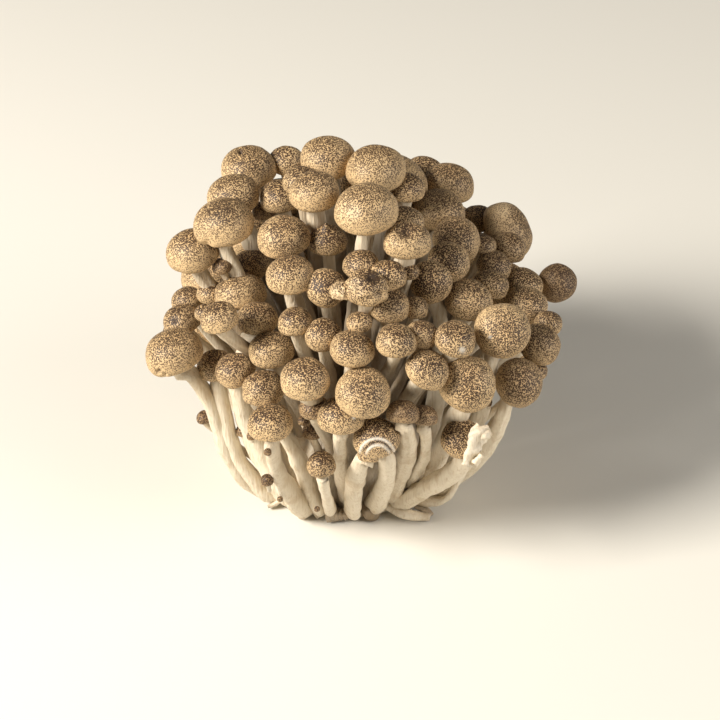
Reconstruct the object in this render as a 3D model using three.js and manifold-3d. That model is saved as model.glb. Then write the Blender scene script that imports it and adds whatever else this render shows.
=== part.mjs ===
// Beech mushroom cluster: a bunch of cream stems that grew from one foot, with a brown cap on each stem.
// Millimetres, +Z up. The origin lies on the flat cut foot, under the middle of the crown, and the front is
// the side towards -Y.

import * as THREE from 'three';
import Module from 'manifold-3d';

const wasm = await Module();
wasm.setup();

// Driving dimensions
const crownMiddle = [0, 8, 56];      // the caps fill the skin of this rounded crown
const crownReach = [64, 58, 50];
const crownLean = [0.3, 0];          // how far a cap leans out at the crown's sides and back, as a slope
const footRadius = 25;               // the flat cut foot, and the mass above it that the stems grew from
const footHeight = 30;
const footMiddle = [-3, 3];
const rootSpread = 22.5;             // how far from the foot's middle the outer stems start
const rootHeight = 4.6;
const capHeight = 0.7;               // height over width of the rounded form a cap is cut from
const stemShare = 0.19;              // a stem's radius over its cap's diameter
const neckShare = 0.6;               // the straight length under a cap over its radius
const stemThinnest = 1.0;
const stemThickest = 2.9;
const gap = 0.35;                    // room between neighbours that only touch
const pressed = 0.9;                 // how deep two caps that grew together run into each other
const ahead = 1.5;                   // how much nearer a cap stands than a later one that it partly hides
const neighbourReach = 24;           // caps with their middles farther apart than this never meet
const slide = { from: -14, to: 45, step: 0.5 };  // where a front cap may stand along its line of sight
const price = { apart: 6, disorder: 0.5, nearer: 0.3, farther: 0.04, inset: 0.05, lift: 0.05, turn: 0.01 };
const backRows = [45, 60, 74, 86];   // heights of the rows of caps on the far side
const backLevel = 44;                // the far side is widest at this height
const backReach = [52, 53, 53];
const backLean = [0.55, 0.55];
const backWidths = [18, 22];         // diameters of those caps, smallest and largest
const backTurn = 182;                // the rows run this many degrees round the far side, from the right
const grownTogether = 5;             // caps in each fused group on the far side
const backPatience = 1.6;            // the most that may stand against a cap there, or it is left out

// Every cap's place is given where it shows in one straight view of the bunch from the front
const view = { elevation: 37, distance: 673, focal: 2200, middle: 360, targetHeight: 45 };

const capColour = '#8d7250';
const stemColour = '#e6dbc4';

// Caps from the nearest to the farthest. Each row is one cap or a few that grew into each other:
// [across, down, width, extras], all as pixels in the view. Extras change one cap: lean (across and back),
// tall (half height over radius), point (a peak, in half heights), cut (a torn side, radii from the middle),
// nearer (mm before the crown's skin), height (above the cut), sides (of its rings) and bare (no stem).
const capRows = {
  cap_lobed: [[376, 437, 46, { lean: [0, -0.2] }], [370, 452, 25]],
  cap_ball_low: [[321, 464, 29, { tall: 0.85 }]],
  cap_torn: [[462, 438, 43, { lean: [-0.15, -0.4], cut: 0.8 }]],
  cap_low_left: [[270, 422, 46]],
  cap_dark_low: [[403, 412, 34, { lean: [0, 0.3] }], [424, 416, 29, { lean: [0, 0.4] }]],
  cap_front: [[363, 391, 56, { lean: [0, -0.25] }], [341, 415, 46]],
  cap_left_of_front: [[305, 378, 49, { lean: [0, -0.1] }]],
  cap_tilted: [[428, 369, 44, { lean: [0.35, -0.25] }]],
  cap_facing_low: [[468, 383, 57, { lean: [0, -0.75] }]],
  cap_facing_right: [[503, 330, 56, { lean: [0, -0.9] }]],
  cap_right_pair: [[540, 343, 43, { lean: [0.1, -0.3] }], [549, 322, 28]],
  cap_right_low: [[520, 382, 49, { lean: [0.1, -0.75] }], [536, 370, 24]],
  cap_left_low: [[263, 388, 44]],
  cap_shaded_low: [[314, 407, 30]],
  cap_left_pair: [[235, 369, 40, { lean: [0, -0.15] }], [215, 365, 38]],
  cap_far_left: [[173, 351, 58]],
  cap_pair_left: [[271, 349, 46], [257, 318, 41]],
  cap_middle_pair: [[352, 348, 45], [359, 322, 26]],
  cap_nick: [[455, 338, 43]],
  cap_middle_right: [[396, 340, 41], [422, 334, 34]],
  cap_middle_left: [[323, 334, 37, { lean: [0, -0.2] }], [295, 321, 35]],
  cap_small_left: [[219, 317, 38], [204, 312, 20]],
  cap_lumpy: [
    [367, 287, 42, { lean: [0, -0.2] }], [388, 275, 38], [361, 264, 37], [342, 290, 25, { bare: true }],
  ],
  cap_small_middle: [[409, 271, 21]],
  cap_under_lumpy: [[389, 305, 43], [415, 307, 28]],
  cap_lumpy_left: [[182, 319, 38], [187, 299, 32]],
  cap_flat_left: [[240, 292, 51, { lean: [0, 0.35] }], [210, 292, 28]],
  cap_centre_left: [[326, 287, 40, { lean: [0, -0.7] }], [290, 274, 48]],
  cap_upper_right: [[431, 281, 43, { lean: [0, -0.8] }], [449, 261, 43, { lean: [0, -0.4] }]],
  cap_right_edge: [[527, 304, 43], [524, 284, 40]],
  cap_round_right: [[558, 282, 39, { lean: [0.2, -0.6], tall: 0.85 }]],
  cap_big_front: [[366, 208, 64, { nearer: 5 }]],
  cap_dented: [[407, 240, 48], [405, 221, 38]],
  cap_upper_left: [[283, 236, 52, { lean: [0, -0.1] }]],
  cap_pointed: [[327, 240, 38, { point: 0.6, nearer: -16 }]],
  cap_right_mid: [[469, 299, 48, { lean: [0, -0.2] }], [491, 284, 36]],
  cap_right_upper: [[457, 238, 48, { lean: [0, -0.4] }], [440, 210, 52]],
  cap_right_slim: [[494, 265, 36], [484, 245, 26]],
  cap_tall_right: [[509, 247, 36], [508, 230, 60, { lean: [1.2, 0] }], [478, 218, 32]],
  cap_left_shoulder: [[223, 222, 60, { nearer: 3 }], [233, 195, 52]],
  cap_left_edge: [[192, 250, 54], [222, 266, 20]],
  cap_shaded_left: [[252, 264, 38]],
  cap_top_left_mid: [[314, 191, 51, { nearer: 2 }], [300, 180, 36]],
  cap_top_left_small: [[280, 196, 42], [264, 210, 24]],
  cap_top_middle: [[376, 168, 60], [406, 187, 38], [328, 157, 55]],
  cap_top_right: [[449, 182, 50], [424, 172, 40]],
  cap_top_left: [[248, 167, 55], [286, 160, 36]],
};

// Pins: small young caps low between the stems, and the height of each above the cut
const pinRows = {
  pin_left: [[204, 417, 16, { height: 36 }]],
  pin_left_low: [[243, 430, 15, { height: 32 }]],
  pin_gap: [[313, 430, 22, { height: 38 }], [304, 420, 13, { height: 38 }]],
};

// Front stems that show from cap to foot, by their cap: thickness in mm and points down the stem, as pixels
const frontStems = {
  'cap_far_left 0': { wide: 5.8, along: [[192, 374], [210, 400], [220, 424], [229, 452], [255, 487]] },
  'cap_left_pair 1': { wide: 5.8, along: [[218, 385], [226, 420], [237, 455], [268, 491]] },
  'cap_left_pair 0': { wide: 5.8, along: [[237, 388], [246, 420], [262, 450], [284, 496]] },
  'cap_low_left 0': { wide: 5.4, along: [[272, 445], [281, 478], [303, 508]] },
  'cap_left_low 0': { wide: 5.4, along: [[268, 412], [288, 440], [302, 468], [319, 506]] },
  'cap_ball_low 0': { wide: 3.8, along: [[323, 482], [331, 510]] },
  'cap_front 1': { wide: 5.0, along: [[340, 434], [341, 460], [347, 500]] },
  'cap_lobed 1': { wide: 5.0, along: [[363, 458], [355, 480], [352, 512]] },
  'cap_lobed 0': { wide: 5.6, along: [[386, 458], [386, 480], [374, 504]] },
  'cap_dark_low 0': { wide: 4.8, along: [[406, 428], [407, 455], [390, 499]] },
  'cap_dark_low 1': { wide: 3.6, along: [[425, 430], [424, 458], [402, 492]] },
  'cap_torn 0': { wide: 6.2, along: [[464, 460], [450, 475], [422, 490], [400, 501]] },
  'cap_right_low 0': { wide: 5.2, along: [[506, 404], [497, 430], [478, 458], [442, 484]] },
  'cap_facing_right 0': { wide: 5.4, along: [[490, 364], [484, 400], [469, 435], [436, 478]] },
  'cap_right_pair 0': { wide: 4.6, along: [[525, 366], [508, 402], [487, 436], [450, 482]] },
  'cap_pair_left 1': { wide: 4.8, along: [[246, 340], [240, 380], [245, 420], [262, 462], [288, 500]] },
  'cap_upper_right 0': { wide: 4.6, along: [[435, 303], [441, 325], [438, 380], [428, 440], [410, 485]] },
  'cap_left_shoulder 0': { wide: 5.0, along: [[223, 245], [231, 262], [240, 285], [280, 430], [305, 490]] },
  'cap_facing_low 0': { wide: 5.8, along: [[460, 410], [447, 438], [433, 464], [410, 492]] },
};

// Flesh with no cap, from the foot outwards: a flap beside the torn cap, a torn piece that hangs, a stub with
// a torn end and a sliver at the side
const fleshPieces = {
  flap: { wide: [5.0, 3.0], along: [[452, 474], [468, 458], [474, 442], [486, 430]], heights: [15, 32] },
  hanging: { wide: [3.8, 2.6], along: [[418, 499], [444, 500], [458, 482], [468, 464]], heights: [4, 20] },
  stub: { wide: [4.4, 3.0], along: [[382, 500], [398, 512], [412, 517], [430, 517]], heights: [4, 2.2] },
  side_sliver: { wide: [3.0, 1.6], along: [[446, 490], [464, 472], [480, 450], [487, 432]], heights: [8, 36] },
};

// Vectors and seeded draws
const vec = (x, y, z) => new THREE.Vector3(x, y, z);
const mix = (from, to, share) => from + (to - from) * share;

function makeDraw(seed) {
  let state = seed;
  return () => {
    state = (Math.imul(state, 1664525) + 1013904223) >>> 0;
    return state / 4294967296;
  };
}

// The view: a point at some depth behind a pixel, and where that line meets the crown or a level
const slope = THREE.MathUtils.degToRad(view.elevation);
const forward = vec(0, Math.cos(slope), -Math.sin(slope));
const upward = vec(0, Math.sin(slope), Math.cos(slope));
const eye = vec(0, 0, view.targetHeight).addScaledVector(forward, -view.distance);

function sightPoint([across, down], depth) {
  const ray = forward.clone().addScaledVector(upward, (view.middle - down) / view.focal);
  ray.x += (across - view.middle) / view.focal;
  return ray.multiplyScalar(depth).add(eye);
}

function depthAtHeight(pixel, height) {
  const fall = eye.z - sightPoint(pixel, 1).z;
  return (eye.z - height) / fall;
}

function crownSkin(point) {
  const x = (point.x - crownMiddle[0]) / crownReach[0];
  const y = (point.y - crownMiddle[1]) / crownReach[1];
  const z = (point.z - crownMiddle[2]) / crownReach[2];
  return x * x + y * y + z * z - 1;
}

function depthAtCrown(pixel) {
  let bestDepth = view.distance;
  let bestValue = Infinity;
  for (let depth = view.distance - 110; depth < view.distance + 90; depth += 0.5) {
    const value = crownSkin(sightPoint(pixel, depth));
    if (value < bestValue) {
      bestValue = value;
      bestDepth = depth;
    }
    if (value <= 0) break;
  }
  return bestDepth;
}

// Caps as rounded forms, and the room between two of them along the line that joins their middles
function makeCap(node, index, middle, wide, slopeOut, extras) {
  const lean = extras.lean ?? [0, 0];
  const axis = vec(
    slopeOut[0] * (middle.x - crownMiddle[0]) / crownReach[0] + lean[0],
    slopeOut[1] * (middle.y - crownMiddle[1]) / crownReach[1] + lean[1],
    1,
  ).normalize();
  const radius = wide / 2;
  const depth = middle.clone().sub(eye).dot(forward);
  return { node, index, middle, axis, radius, half: radius * (extras.tall ?? capHeight), depth, extras };
}

function reachAlong(cap, direction, grown = 0) {
  const up = direction.dot(cap.axis);
  const rise = up / (cap.half + grown);
  const side = Math.max(0, 1 - up * up) / (cap.radius + grown) ** 2;
  return 1 / Math.sqrt(rise * rise + side);
}

function roomBetween(first, second) {
  const line = second.middle.clone().sub(first.middle);
  const apart = line.length();
  line.divideScalar(apart);
  return apart - reachAlong(first, line) - reachAlong(second, line);
}

// What stands against a place for a cap: caps too near, and no cap of its own group that it grows into
function conflict(cap) {
  let cost = 0;
  let roomInGroup = cap.index > 0 ? neighbourReach : -pressed;
  for (const other of caps) {
    if (other.middle.distanceTo(cap.middle) > neighbourReach) continue;
    const room = roomBetween(other, cap);
    if (other.node === cap.node) roomInGroup = Math.min(roomInGroup, room);
    else cost += Math.max(0, gap - room);
  }
  return cost + price.apart * Math.max(0, roomInGroup + pressed) + Math.max(0, -roomInGroup - 2 * pressed);
}

// How far a place is from the order of the rows, where each cap partly hides the caps after it
function outOfOrder(cap, pixel, width) {
  let cost = 0;
  for (const other of caps) {
    if (!other.pixel) continue;
    const apart = Math.hypot(other.pixel[0] - pixel[0], other.pixel[1] - pixel[1]);
    if (apart < 0.9 * (other.width + width) / 2) cost += Math.max(0, other.depth + ahead - cap.depth);
  }
  return cost;
}

// A front cap slides along its line of sight to the place with the least against it
function placeFrontCaps(rows) {
  for (const [node, members] of Object.entries(rows)) {
    members.forEach(([across, down, width, extras = {}], index) => {
      const pixel = [across, down];
      const start = extras.height
        ? depthAtHeight(pixel, extras.height)
        : depthAtCrown(pixel) - (extras.nearer ?? 0);
      let best = null;
      for (let shift = slide.from; shift <= slide.to; shift += slide.step) {
        const depth = start + shift;
        const wide = width * depth / view.focal;
        const cap = makeCap(node, index, sightPoint(pixel, depth), wide, crownLean, extras);
        const far = shift < 0 ? -price.nearer * shift : price.farther * shift;
        const cost = conflict(cap) + price.disorder * outOfOrder(cap, pixel, width) + far;
        if (!best || cost < best.cost) best = { cost, cap: { ...cap, pixel, width } };
      }
      caps.push(best.cap);
    });
  }
}

// Rows of caps round the far side, in small groups that grew together
function placeBackCaps() {
  const draw = makeDraw(7);
  let group = 0;
  backRows.forEach((rowHeight, row) => {
    let index = 0;
    let turn = row * 4;
    group += 1;
    while (turn < backTurn) {
      const wide = mix(...backWidths, draw());
      const height = rowHeight + mix(-3.5, 3.5, draw());
      const node = `cap_back_${String(group).padStart(2, '0')}`;
      const found = findBackPlace(node, index, wide, height, turn);
      if (found) {
        caps.push(found.cap);
        turn = found.turn;
        index += 1;
      } else {
        turn += 6;
      }
      if (index > 0 && (index === grownTogether || !found)) {
        index = 0;
        group += 1;
      }
    }
    if (index === 0) group -= 1;
  });
}

function findBackPlace(node, index, wide, height, fromTurn) {
  let best = null;
  for (let turn = fromTurn; turn < Math.min(fromTurn + 30, backTurn); turn += 0.5) {
    for (let step = 0; step < 15; step++) {
      const inset = 2 * (step % 5);
      const lift = 2 * Math.floor(step / 5);
      const place = backPoint(height + lift, turn, inset);
      const cap = makeCap(node, index, place, wide, backLean, { sides: 7 });
      const away = price.inset * inset + price.lift * lift + price.turn * (turn - fromTurn);
      const cost = conflict(cap) + away;
      if (!best || cost < best.cost) best = { cost, cap, turn };
    }
  }
  return best && best.cost < backPatience ? best : null;
}

function backPoint(height, turn, inset) {
  const angle = THREE.MathUtils.degToRad(turn);
  const level = (height - backLevel) / backReach[2];
  const ring = Math.sqrt(1 - level * level);
  const across = (backReach[0] * ring - inset) * Math.cos(angle);
  const back = (backReach[1] * ring - inset) * Math.sin(angle);
  return vec(crownMiddle[0] + across, crownMiddle[1] + back, height);
}

// Solids are skins of rings, closed by a point at each end
function skinOf(start, rings, end) {
  const sides = rings[0].length;
  const points = [start, ...rings.flat(), end];
  const at = (ring, side) => 1 + ring * sides + (side % sides);
  const faces = [];
  for (let side = 0; side < sides; side++) {
    faces.push([0, at(0, side + 1), at(0, side)]);
    faces.push([points.length - 1, at(rings.length - 1, side), at(rings.length - 1, side + 1)]);
    for (let ring = 0; ring + 1 < rings.length; ring++) {
      faces.push([at(ring, side), at(ring, side + 1), at(ring + 1, side + 1)]);
      faces.push([at(ring, side), at(ring + 1, side + 1), at(ring + 1, side)]);
    }
  }
  return solidFrom(points.flatMap((point) => point.toArray()), faces.flat());
}

function solidFrom(positions, triangles) {
  const vertProperties = new Float32Array(positions);
  const triVerts = new Uint32Array(triangles);
  return new wasm.Manifold(new wasm.Mesh({ numProp: 3, vertProperties, triVerts }));
}

function ringRound(middle, axis, firstSide, radius, sides, turn = 0) {
  const secondSide = axis.clone().cross(firstSide);
  return Array.from({ length: sides }, (_, side) => {
    const angle = turn + (2 * Math.PI * side) / sides;
    return middle.clone()
      .addScaledVector(firstSide, radius * Math.cos(angle))
      .addScaledVector(secondSide, radius * Math.sin(angle));
  });
}

function sideOf(axis, hint = vec(1, 0, 0)) {
  return hint.clone().addScaledVector(axis, -hint.dot(axis)).normalize();
}

// A cap: hollow underside, rolled-in margin and dome, as shares of its radius and of its half height
const underside = -0.34;
const tornSide = vec(0.75, -0.5, 0.3).normalize();  // where a torn cap's flesh faces
const capProfile = [
  [0.8, -0.62],
  [1.02, -0.26],
  [0.93, 0.42],
  [0.53, 0.86],
];

function capSides(radius) {
  return 6 + [5.4, 7.3, 8.7].filter((limit) => radius > limit).length;
}

function capSolid(cap, grown = 0) {
  const sides = cap.extras.sides ?? capSides(cap.radius);
  const firstSide = sideOf(cap.axis);
  const faceted = 1 / Math.cos(Math.PI / sides) ** 0.3;  // so that few sides look as wide as a round cap
  const radius = faceted * (cap.radius + grown);
  const half = cap.half + grown;
  const at = (level) => cap.middle.clone().addScaledVector(cap.axis, level * half);
  const hollow = at(underside).addScaledVector(cap.axis, -2 * grown);
  const rings = capProfile.map(([share, level]) => (
    ringRound(at(level), cap.axis, firstSide, share * radius, sides)
  ));
  const solid = skinOf(hollow, rings, at(1 + (cap.extras.point ?? 0)));
  if (!cap.extras.cut) return solid;
  const kept = tornSide.clone().negate();
  return solid.trimByPlane(kept.toArray(), kept.dot(cap.middle) - cap.extras.cut * cap.radius);
}

// The level inside the hollow underside where a stem's end has room
function seatLevel(cap) {
  const [lip, lipLevel] = capProfile[0];
  return mix(underside, lipLevel, Math.min(1, (1.25 * stemRadius(cap)) / (lip * cap.radius)));
}

function stemRadius(cap) {
  return Math.min(stemThickest, Math.max(stemThinnest, stemShare * 2 * cap.radius));
}

// A route through pixels of the view, its depth changing evenly from its first point to its last
function routeInView(pixels, firstDepth, lastDepth) {
  const steps = pixels.map(([across, down], i) => {
    const [acrossBefore, downBefore] = pixels[Math.max(0, i - 1)];
    return Math.hypot(across - acrossBefore, down - downBefore);
  });
  const whole = steps.reduce((sum, step) => sum + step);
  let done = 0;
  return pixels.map((pixel, i) => {
    done += steps[i];
    return sightPoint(pixel, mix(firstDepth, lastDepth, done / whole));
  });
}

function intoFoot(point, share) {
  return vec(mix(footMiddle[0], point.x, share), mix(footMiddle[1], point.y, share), rootHeight);
}

// A stem: from its root in the foot, out and up to the seat under its cap
function stemRoute(cap, draw) {
  const seat = cap.middle.clone().addScaledVector(cap.axis, seatLevel(cap) * cap.half - gap);
  const neck = seat.clone().addScaledVector(cap.axis, -neckShare * cap.radius);
  const shown = frontStems[`${cap.node} ${cap.index}`];
  if (shown) return { route: shownRoute(shown, neck, seat), radius: shown.wide / 2, sides: 5, shown: true };
  const out = vec(neck.x - footMiddle[0], neck.y - footMiddle[1], 0);
  const width = out.length();
  out.normalize();
  const sideways = vec(-out.y, out.x, 0);
  const spread = Math.min(1, width / neck.z);
  const rootWidth = rootSpread * spread;
  const bend = mix(1.5, 0.8, THREE.MathUtils.smoothstep(width / neck.z, 0.9, 1.2));
  const sway = mix(-1.5, 1.5, draw());
  const turned = mix(-1.5, 1.5, draw());
  const outer = width > 46;
  const shares = outer ? [0, 0.3, 0.65, 1] : [0, 0.5, 1];
  const route = shares.map((share) => {
    const along = mix(rootWidth, width, share ** bend);
    const aside = mix(turned, 0, share) + sway * Math.sin(Math.PI * share);
    return vec(footMiddle[0], footMiddle[1], mix(rootHeight, neck.z, share))
      .addScaledVector(out, along)
      .addScaledVector(sideways, aside);
  });
  return { route: [...route, seat], radius: stemRadius(cap), sides: 4, shown: false };
}

function shownRoute(shown, neck, seat) {
  const foot = shown.along[shown.along.length - 1];
  const neckDepth = neck.clone().sub(eye).dot(forward);
  const footDepth = depthAtHeight(foot, shown.wide / 2 + 1.8);
  const along = routeInView(shown.along, neckDepth, footDepth);
  return [intoFoot(along[along.length - 1], 0.75), ...along.reverse(), neck, seat];
}

// A stem is bent clear of the caps of its neighbours, each stretch of it where it comes nearest to a cap
function bendClear(stem) {
  const { route } = stem;
  const roomNeeded = 1.1 * stem.radius + gap;
  for (let round = 0; round < 5; round++) {
    for (let step = 0; step < route.length - 2; step++) {
      for (const cap of caps) {
        if (cap !== stem.cap) pushStretch(route, step, cap, roomNeeded);
      }
    }
  }
}

function pushStretch(route, step, cap, roomNeeded) {
  const start = route[step];
  const stretch = route[step + 1].clone().sub(start);
  const toCap = cap.middle.clone().sub(start);
  const share = Math.min(1, Math.max(0, toCap.dot(stretch) / stretch.lengthSq()));
  const away = start.clone().addScaledVector(stretch, share).sub(cap.middle);
  const apart = away.length();
  if (apart > cap.radius + roomNeeded) return;
  const short = reachAlong(cap, away.divideScalar(apart), roomNeeded) - apart;
  if (short <= 0) return;
  away.z = 0;
  away.normalize().multiplyScalar(Math.min(2, short));
  if (step > 0) start.addScaledVector(away, 1 - share);
  if (step + 1 < route.length - 2) route[step + 1].addScaledVector(away, share);
}

function tubeSolid(route, radii, sides, endAxis = null) {
  let side = null;
  const rings = route.map((point, i) => {
    const before = route[Math.max(0, i - 1)];
    const after = route[Math.min(route.length - 1, i + 1)];
    const axis = i === route.length - 1 && endAxis ? endAxis : after.clone().sub(before).normalize();
    side = sideOf(axis, side ?? vec(0.6, 0.8, 0));
    return ringRound(point, axis, side, radii[i], sides, 0.3);
  });
  return skinOf(route[0], rings, route[route.length - 1]);
}

function stemSolid(stem, grown = 0) {
  const last = stem.route.length - 1;
  const radii = stem.route.map((_, i) => stem.radius * mix(1.12, 0.9, i / last) + grown);
  const route = stem.route.map((point) => point.clone());
  route[last].addScaledVector(stem.cap.axis, grown);
  return tubeSolid(route, radii, stem.sides, stem.cap.axis);
}

// The cut foot: flat beneath, swelling a little, with a low rounded top among the stems
function footSolid() {
  const profile = [[1, 0], [1.05, 0.1], [1, 0.5], [0.8, 0.84], [0.35, 0.98]];
  const axis = vec(0, 0, 1);
  const rings = profile.map(([share, level]) => {
    const middle = vec(...footMiddle, level * footHeight);
    return ringRound(middle, axis, vec(1, 0, 0), share * footRadius, 14);
  });
  return skinOf(vec(...footMiddle, 0), rings, vec(...footMiddle, footHeight));
}

function fleshSolid({ wide, along, heights }) {
  const last = along.length - 1;
  const firstDepth = depthAtHeight(along[0], heights[0]);
  const route = routeInView(along, firstDepth, depthAtHeight(along[last], heights[1]));
  const radii = route.map((_, i) => mix(...wide, i / last) / 2);
  route.forEach((point, i) => { point.z = Math.max(point.z, radii[i] + 0.6); });
  return tubeSolid([intoFoot(route[0], 0.8), ...route], [radii[0], ...radii], 6);
}

// Cuts happen only where boxes meet
function boxesMeet(first, second) {
  return [0, 1, 2].every((i) => first.min[i] <= second.max[i] && second.min[i] <= first.max[i]);
}

function cutBy(solid, cutter) {
  if (!boxesMeet(solid.boundingBox(), cutter.boundingBox())) return solid;
  if (solid.intersect(cutter).volume() < 1e-6) return solid;
  return solid.subtract(cutter);
}

function largestBody(solid) {
  return solid.decompose().reduce((best, body) => (body.volume() > best.volume() ? body : best));
}

// Placing
const caps = [];
placeFrontCaps(capRows);
placeFrontCaps(pinRows);
placeBackCaps();

const drawBends = makeDraw(11);
const stems = caps.filter((cap) => !cap.extras.bare).map((cap) => ({ cap, ...stemRoute(cap, drawBends) }));
stems.filter((stem) => !stem.shown).forEach(bendClear);

// Fusing the stems with the foot, and the caps of each row with each other
let bunch = footSolid();
for (const stem of stems) bunch = bunch.add(stemSolid(stem));
for (const piece of Object.values(fleshPieces)) bunch = bunch.add(fleshSolid(piece));

const capNodes = new Map();
caps.forEach((cap, order) => {
  let solid = capSolid(cap);
  for (const stem of stems) {
    if (stem.cap !== cap) solid = cutBy(solid, stemSolid(stem, gap));
  }
  for (const earlier of caps.slice(0, order)) {
    if (earlier.node !== cap.node) solid = cutBy(solid, capSolid(earlier, gap));
  }
  capNodes.set(cap.node, capNodes.has(cap.node) ? capNodes.get(cap.node).add(solid) : solid);
});

// Meshes
function meshOf(name, solid, material) {
  const mesh = solid.getMesh();
  const geometry = new THREE.BufferGeometry();
  geometry.setAttribute('position', new THREE.BufferAttribute(new Float32Array(mesh.vertProperties), 3));
  geometry.setIndex(new THREE.BufferAttribute(new Uint32Array(mesh.triVerts), 1));
  const facets = geometry.toNonIndexed();
  facets.computeVertexNormals();
  const part = new THREE.Mesh(facets, material);
  part.name = name;
  return part;
}

const cluster = new THREE.Group();
cluster.name = 'beech_mushroom_cluster';
const finish = (color, roughness) => new THREE.MeshStandardMaterial({ color, roughness, metalness: 0 });
cluster.add(meshOf('stem_bunch', largestBody(bunch), finish(stemColour, 0.62)));
for (const [name, solid] of capNodes) {
  cluster.add(meshOf(name, largestBody(solid), finish(capColour, 0.72)));
}

export default cluster;
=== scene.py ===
import math

import bpy
import numpy as np
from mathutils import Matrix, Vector


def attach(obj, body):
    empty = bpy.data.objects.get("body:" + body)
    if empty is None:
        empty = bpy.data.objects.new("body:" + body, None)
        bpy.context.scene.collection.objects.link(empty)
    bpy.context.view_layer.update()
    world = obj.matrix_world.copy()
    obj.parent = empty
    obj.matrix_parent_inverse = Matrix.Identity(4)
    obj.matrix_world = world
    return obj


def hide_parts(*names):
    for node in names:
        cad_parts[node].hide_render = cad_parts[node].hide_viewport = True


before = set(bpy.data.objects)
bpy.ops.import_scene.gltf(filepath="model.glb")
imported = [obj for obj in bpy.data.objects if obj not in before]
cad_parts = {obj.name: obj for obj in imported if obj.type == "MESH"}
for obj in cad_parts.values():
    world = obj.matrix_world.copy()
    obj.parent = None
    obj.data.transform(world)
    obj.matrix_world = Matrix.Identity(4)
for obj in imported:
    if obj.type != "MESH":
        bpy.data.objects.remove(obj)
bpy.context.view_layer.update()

MM = 0.001

# Driving dimensions, the same as the solid part's
CROWN_MIDDLE = np.array([0.0, 8.0, 56.0])
CROWN_REACH = np.array([64.0, 58.0, 50.0])
CROWN_LEAN = (0.3, 0.0)
FOOT_RADIUS = 25.0
FOOT_HEIGHT = 30.0
FOOT_MIDDLE = (-3.0, 3.0)
ROOT_SPREAD = 22.5
ROOT_HEIGHT = 4.6
CAP_HEIGHT = 0.7
STEM_SHARE = 0.19
NECK_SHARE = 0.6
STEM_THINNEST = 1.0
STEM_THICKEST = 2.9
GAP = 0.35
PRESSED = 0.9
AHEAD = 1.5
NEIGHBOUR_REACH = 24.0
SLIDE_FROM, SLIDE_TO, SLIDE_STEP = -14.0, 45.0, 0.5
OVERLAPPING = 0.9

# What counts against a place, for each mm or degree
PRICE = {
    "apart": 6, "disorder": 0.5, "nearer": 0.3, "farther": 0.04, "inset": 0.05, "lift": 0.05, "turn": 0.01,
}

# The rows of caps round the far side
BACK_ROWS = [45, 60, 74, 86]
BACK_LEVEL = 44.0
BACK_REACH = [52.0, 53.0, 53.0]
BACK_LEAN = (0.55, 0.55)
BACK_WIDTHS = [18.0, 22.0]
BACK_TURN = 182
BACK_ROW_TURN = 4
BACK_TURN_STEP = 0.5
BACK_SEARCH_TURN = 30
BACK_SKIPPED_TURN = 6
BACK_UNEVEN = 3.5
BACK_INSETS = [0, 2, 4, 6, 8]
BACK_LIFTS = [0, 2, 4]
GROWN_TOGETHER = 5
BACK_PATIENCE = 1.6

# How stems run from the foot to their caps
WIDE_STEM = 46
STEM_LEVELS = [0, 0.5, 1]
WIDE_STEM_LEVELS = [0, 0.3, 0.65, 1]
STEM_SWAY = 1.5
STEM_BENDS = (1.5, 0.8)
STEM_BENDS_BETWEEN = (0.9, 1.2)
STEM_REST = 1.8
FRONT_ROOT = 0.75
STRIP_ROOT = 0.8
BEND_ROUNDS = 5
BEND_ROOM = 1.1
BEND_PUSH = 2
UNDERSIDE = -0.34
LIP = (0.8, -0.62)
SEAT_ROOM = 1.25

# Where the seeded draws start for each kind of form, and the steps from there to those of its lumps
SEEDS = {
    "back": 7, "bends": 11, "caps": 100, "tiny pins": 300, "flesh": 700, "scraps": 720, "gills": 740,
    "torn": 760, "tiny stems": 780, "stems": 900, "foot": 31,
}
SEED_STEPS = {"broad": 5, "fine": 6, "tear": 9, "finer": 40}

# The straight view in which the places of the caps are given
ELEVATION = math.radians(37)
DISTANCE = 673.0
FOCAL = 2200.0
MIDDLE = 360.0
TARGET_HEIGHT = 45.0
IMAGE_WIDTH = 720
SENSOR = 36.0
NEAREST_AHEAD = 110
FARTHEST_BEYOND = 90

# How fine the meshes are
CAP_SIDES = 64
CAP_RINGS = 30
STEM_SIDES = 24
STEM_RINGS = 30
FOOT_SIDES = 152
CURVE_STEPS = 12

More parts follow.
